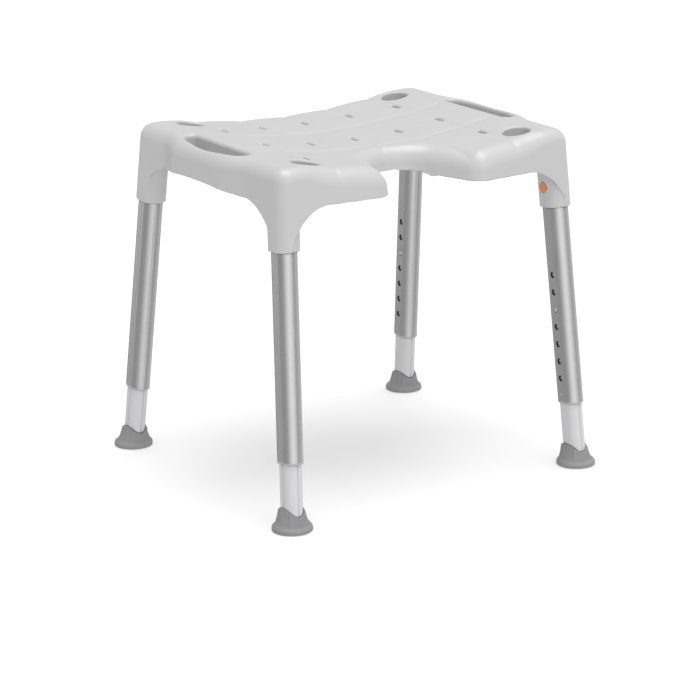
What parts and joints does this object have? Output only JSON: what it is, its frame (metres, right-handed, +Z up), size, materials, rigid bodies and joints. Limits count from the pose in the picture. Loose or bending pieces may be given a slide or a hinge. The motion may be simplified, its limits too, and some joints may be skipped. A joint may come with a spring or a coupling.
{
  "type": "shower stool",
  "caption": "Rectangular shower stool with a dished, perforated plastic seat, side hand holes, an open front recess and telescopic splayed legs on rubber feet.",
  "frame": {"origin": "on the floor under the middle of the stool", "axes": "+Z up; -Y is the front, the side with the open recess; +X to the right as seen from the front"},
  "size_m": [0.536, 0.483, 0.4822],
  "materials": {
    "seat_plastic": "satin moulded polypropylene, light grey",
    "anodised_tube": "satin anodised, drawn along its length",
    "inner_leg_grey": "smooth light grey coating",
    "bush_plastic": "smooth grey plastic",
    "inner_plastic": "plain dark grey plastic",
    "release_orange": "smooth orange plastic",
    "button_steel": "polished stainless steel",
    "spring_steel": "stainless spring steel",
    "washer_steel": "plain stainless steel",
    "foot_rubber": "matte grey rubber"
  },
  "bodies": {
    "seat": {"seat": "seat_plastic"},
    "front_left_tube": {"front_left_outer_tube": "anodised_tube", "front_left_guide_bush": "bush_plastic", "front_left_release_carrier": "inner_plastic", "front_left_release_spring": "inner_plastic"},
    "front_left_release_button": {"front_left_release_button": "release_orange"},
    "front_left_leg": {"front_left_inner_leg": "inner_leg_grey", "front_left_top_glide": "inner_plastic", "front_left_height_clip": "spring_steel", "front_left_foot_washer": "washer_steel", "front_left_foot": "foot_rubber"},
    "front_left_height_button": {"front_left_height_button": "button_steel"},
    "front_right_tube": {"front_right_outer_tube": "anodised_tube", "front_right_guide_bush": "bush_plastic", "front_right_release_carrier": "inner_plastic", "front_right_release_spring": "inner_plastic"},
    "front_right_release_button": {"front_right_release_button": "release_orange"},
    "front_right_leg": {"front_right_inner_leg": "inner_leg_grey", "front_right_top_glide": "inner_plastic", "front_right_height_clip": "spring_steel", "front_right_foot_washer": "washer_steel", "front_right_foot": "foot_rubber"},
    "front_right_height_button": {"front_right_height_button": "button_steel"},
    "back_left_tube": {"back_left_outer_tube": "anodised_tube", "back_left_guide_bush": "bush_plastic", "back_left_release_carrier": "inner_plastic", "back_left_release_spring": "inner_plastic"},
    "back_left_release_button": {"back_left_release_button": "release_orange"},
    "back_left_leg": {"back_left_inner_leg": "inner_leg_grey", "back_left_top_glide": "inner_plastic", "back_left_height_clip": "spring_steel", "back_left_foot_washer": "washer_steel", "back_left_foot": "foot_rubber"},
    "back_left_height_button": {"back_left_height_button": "button_steel"},
    "back_right_tube": {"back_right_outer_tube": "anodised_tube", "back_right_guide_bush": "bush_plastic", "back_right_release_carrier": "inner_plastic", "back_right_release_spring": "inner_plastic"},
    "back_right_release_button": {"back_right_release_button": "release_orange"},
    "back_right_leg": {"back_right_inner_leg": "inner_leg_grey", "back_right_top_glide": "inner_plastic", "back_right_height_clip": "spring_steel", "back_right_foot_washer": "washer_steel", "back_right_foot": "foot_rubber"},
    "back_right_height_button": {"back_right_height_button": "button_steel"}
  },
  "joints": [
    {"name": "front_left_leg_pull_out", "type": "slide", "parent": "seat", "child": "front_left_tube", "axis": [-0.0411, -0.1046, -0.9937], "range_m": [0, 0.1], "deforming": ["front_left_release_button", "front_left_release_spring"]},
    {"name": "front_left_height_slide", "type": "slide", "parent": "front_left_tube", "child": "front_left_leg", "axis": [-0.0411, -0.1046, -0.9937], "range_m": [-0.05, 0.1], "deforming": ["front_left_height_button", "front_left_height_clip"]},
    {"name": "front_left_release_press", "type": "slide", "parent": "front_left_tube", "child": "front_left_release_button", "axis": [-0.9992, 0.0043, 0.0409], "range_m": [0, 0.0055], "stiffness_N_per_m": 1500, "springref_m": -0.002, "deforming": ["front_left_release_spring"]},
    {"name": "front_left_height_press", "type": "slide", "parent": "front_left_leg", "child": "front_left_height_button", "axis": [-0.9992, 0.0043, 0.0409], "range_m": [0, 0.0032], "stiffness_N_per_m": 2500, "springref_m": -0.001, "deforming": ["front_left_height_clip"]},
    {"name": "front_right_leg_pull_out", "type": "slide", "parent": "seat", "child": "front_right_tube", "axis": [0.0411, -0.1046, -0.9937], "range_m": [0, 0.1], "deforming": ["front_right_release_button", "front_right_release_spring"]},
    {"name": "front_right_height_slide", "type": "slide", "parent": "front_right_tube", "child": "front_right_leg", "axis": [0.0411, -0.1046, -0.9937], "range_m": [-0.05, 0.1], "deforming": ["front_right_height_button", "front_right_height_clip"]},
    {"name": "front_right_release_press", "type": "slide", "parent": "front_right_tube", "child": "front_right_release_button", "axis": [0.9992, 0.0043, 0.0409], "range_m": [0, 0.0055], "stiffness_N_per_m": 1500, "springref_m": -0.002, "deforming": ["front_right_release_spring"]},
    {"name": "front_right_height_press", "type": "slide", "parent": "front_right_leg", "child": "front_right_height_button", "axis": [0.9992, 0.0043, 0.0409], "range_m": [0, 0.0032], "stiffness_N_per_m": 2500, "springref_m": -0.001, "deforming": ["front_right_height_clip"]},
    {"name": "back_left_leg_pull_out", "type": "slide", "parent": "seat", "child": "back_left_tube", "axis": [-0.0411, 0.1046, -0.9937], "range_m": [0, 0.1], "deforming": ["back_left_release_button", "back_left_release_spring"]},
    {"name": "back_left_height_slide", "type": "slide", "parent": "back_left_tube", "child": "back_left_leg", "axis": [-0.0411, 0.1046, -0.9937], "range_m": [-0.05, 0.1], "deforming": ["back_left_height_button", "back_left_height_clip"]},
    {"name": "back_left_release_press", "type": "slide", "parent": "back_left_tube", "child": "back_left_release_button", "axis": [-0.9992, -0.0043, 0.0409], "range_m": [0, 0.0055], "stiffness_N_per_m": 1500, "springref_m": -0.002, "deforming": ["back_left_release_spring"]},
    {"name": "back_left_height_press", "type": "slide", "parent": "back_left_leg", "child": "back_left_height_button", "axis": [-0.9992, -0.0043, 0.0409], "range_m": [0, 0.0032], "stiffness_N_per_m": 2500, "springref_m": -0.001, "deforming": ["back_left_height_clip"]},
    {"name": "back_right_leg_pull_out", "type": "slide", "parent": "seat", "child": "back_right_tube", "axis": [0.0411, 0.1046, -0.9937], "range_m": [0, 0.1], "deforming": ["back_right_release_button", "back_right_release_spring"]},
    {"name": "back_right_height_slide", "type": "slide", "parent": "back_right_tube", "child": "back_right_leg", "axis": [0.0411, 0.1046, -0.9937], "range_m": [-0.05, 0.1], "deforming": ["back_right_height_button", "back_right_height_clip"]},
    {"name": "back_right_release_press", "type": "slide", "parent": "back_right_tube", "child": "back_right_release_button", "axis": [0.9992, -0.0043, 0.0409], "range_m": [0, 0.0055], "stiffness_N_per_m": 1500, "springref_m": -0.002, "deforming": ["back_right_release_spring"]},
    {"name": "back_right_height_press", "type": "slide", "parent": "back_right_leg", "child": "back_right_height_button", "axis": [0.9992, -0.0043, 0.0409], "range_m": [0, 0.0032], "stiffness_N_per_m": 2500, "springref_m": -0.001, "deforming": ["back_right_height_clip"]}
  ]
}
